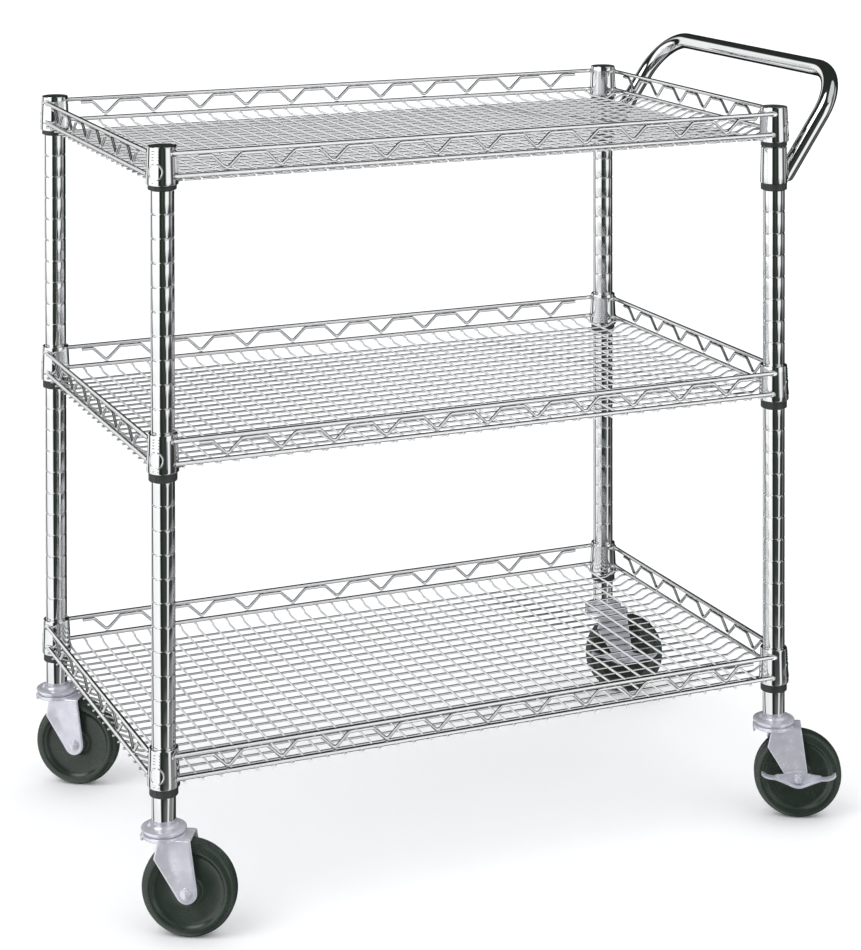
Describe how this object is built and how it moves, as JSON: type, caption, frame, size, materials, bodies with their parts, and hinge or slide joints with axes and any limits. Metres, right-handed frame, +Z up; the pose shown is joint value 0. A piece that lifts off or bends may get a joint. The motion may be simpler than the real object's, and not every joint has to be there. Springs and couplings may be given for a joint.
{
  "type": "wire shelf cart",
  "caption": "Chrome wire utility cart: three raised-rim shelves on four grooved posts, swivel casters and a push handle at one end.",
  "frame": {"origin": "on the floor, at the middle of the overall outline", "axes": "+X along the cart towards the handle end, +Y across the cart away from the braked wheels' lever side at rest, +Z up from the floor"},
  "size_m": [0.8702, 0.5171, 0.8713],
  "materials": {
    "chrome_tube": "bright polished plating with fine horizontal grind marks",
    "chrome_wire": "bright plated wire",
    "black_plastic": "satin moulded",
    "zinc_plate": "bright zinc on pressed steel",
    "bearing_steel": "polished",
    "wheel_rubber": "hard, semi-gloss, very dark green-black"
  },
  "bodies": {
    "frame": {"post_front_left": "chrome_tube", "post_front_right": "chrome_tube", "post_rear_left": "chrome_tube", "post_rear_right": "chrome_tube", "post_caps": "black_plastic", "caster_sockets": "zinc_plate", "bottom_sleeves": "black_plastic", "middle_sleeves": "black_plastic", "top_sleeves": "black_plastic", "handle_sleeves": "black_plastic", "handle_collars": "chrome_tube", "handle_tube": "chrome_tube", "stem_front_left": "zinc_plate", "stem_rear_left": "zinc_plate", "stem_front_right": "zinc_plate", "stem_rear_right": "zinc_plate"},
    "bottom_shelf": {"bottom_collars": "chrome_tube", "bottom_rim_wires": "chrome_wire", "bottom_truss_wires": "chrome_wire", "bottom_cross_wires": "chrome_wire", "bottom_long_wires": "chrome_wire"},
    "middle_shelf": {"middle_collars": "chrome_tube", "middle_rim_wires": "chrome_wire", "middle_truss_wires": "chrome_wire", "middle_cross_wires": "chrome_wire", "middle_long_wires": "chrome_wire"},
    "top_shelf": {"top_collars": "chrome_tube", "top_rim_wires": "chrome_wire", "top_truss_wires": "chrome_wire", "top_cross_wires": "chrome_wire", "top_long_wires": "chrome_wire"},
    "caster_front_left": {"balls_front_left": "bearing_steel", "fork_front_left": "zinc_plate", "axle_front_left": "zinc_plate", "nut_front_left": "zinc_plate"},
    "rolling_wheel_front_left": {"wheel_front_left": "wheel_rubber", "bushing_front_left": "bearing_steel"},
    "caster_rear_left": {"balls_rear_left": "bearing_steel", "fork_rear_left": "zinc_plate", "axle_rear_left": "zinc_plate", "nut_rear_left": "zinc_plate"},
    "rolling_wheel_rear_left": {"wheel_rear_left": "wheel_rubber", "bushing_rear_left": "bearing_steel"},
    "caster_front_right": {"balls_front_right": "bearing_steel", "fork_front_right": "zinc_plate", "axle_front_right": "zinc_plate", "nut_front_right": "zinc_plate"},
    "rolling_wheel_front_right": {"wheel_front_right": "wheel_rubber", "bushing_front_right": "bearing_steel"},
    "caster_rear_right": {"balls_rear_right": "bearing_steel", "fork_rear_right": "zinc_plate", "axle_rear_right": "zinc_plate", "nut_rear_right": "zinc_plate"},
    "rolling_wheel_rear_right": {"wheel_rear_right": "wheel_rubber", "bushing_rear_right": "bearing_steel"},
    "brake_front_right": {"brake_lever_front_right": "zinc_plate"},
    "brake_rear_right": {"brake_lever_rear_right": "zinc_plate"}
  },
  "joints": [
    {"name": "bottom_shelf_lift", "type": "slide", "parent": "frame", "child": "bottom_shelf", "axis": [0, 0, 1], "range_m": [0, 0.1016]},
    {"name": "middle_shelf_lift", "type": "slide", "parent": "frame", "child": "middle_shelf", "axis": [0, 0, 1], "range_m": [0, 0.1016]},
    {"name": "top_shelf_lift", "type": "slide", "parent": "frame", "child": "top_shelf", "axis": [0, 0, 1], "range_m": [0, 0.0381]},
    {"name": "front_left_swivel", "type": "hinge", "parent": "frame", "child": "caster_front_left", "pos_m": [-0.41082, -0.19945, 0.109], "axis": [0, 0, 1], "continuous": true},
    {"name": "front_left_wheel_spin", "type": "hinge", "parent": "caster_front_left", "child": "rolling_wheel_front_left", "pos_m": [-0.387, -0.2132, 0.0505], "axis": [0.5, 0.866, 0], "continuous": true},
    {"name": "rear_left_swivel", "type": "hinge", "parent": "frame", "child": "caster_rear_left", "pos_m": [-0.41082, 0.23455, 0.109], "axis": [0, 0, 1], "continuous": true},
    {"name": "rear_left_wheel_spin", "type": "hinge", "parent": "caster_rear_left", "child": "rolling_wheel_rear_left", "pos_m": [-0.38802, 0.21918, 0.0505], "axis": [0.5592, 0.829, 0], "continuous": true},
    {"name": "front_right_swivel", "type": "hinge", "parent": "frame", "child": "caster_front_right", "pos_m": [0.32918, -0.19945, 0.109], "axis": [0, 0, 1], "continuous": true},
    {"name": "front_right_wheel_spin", "type": "hinge", "parent": "caster_front_right", "child": "rolling_wheel_front_right", "pos_m": [0.35323, -0.21278, 0.0505], "axis": [0.4848, 0.8746, 0], "continuous": true},
    {"name": "front_right_brake", "type": "hinge", "parent": "caster_front_right", "child": "brake_front_right", "pos_m": [0.35323, -0.21278, 0.0505], "axis": [0.4848, 0.8746, 0], "range_deg": [-15, 15]},
    {"name": "rear_right_swivel", "type": "hinge", "parent": "frame", "child": "caster_rear_right", "pos_m": [0.32918, 0.23455, 0.109], "axis": [0, 0, 1], "continuous": true},
    {"name": "rear_right_wheel_spin", "type": "hinge", "parent": "caster_rear_right", "child": "rolling_wheel_rear_right", "pos_m": [0.35346, 0.22164, 0.0505], "axis": [0.4695, 0.8829, 0], "continuous": true},
    {"name": "rear_right_brake", "type": "hinge", "parent": "caster_rear_right", "child": "brake_rear_right", "pos_m": [0.35346, 0.22164, 0.0505], "axis": [0.4695, 0.8829, 0], "range_deg": [-15, 15]}
  ]
}
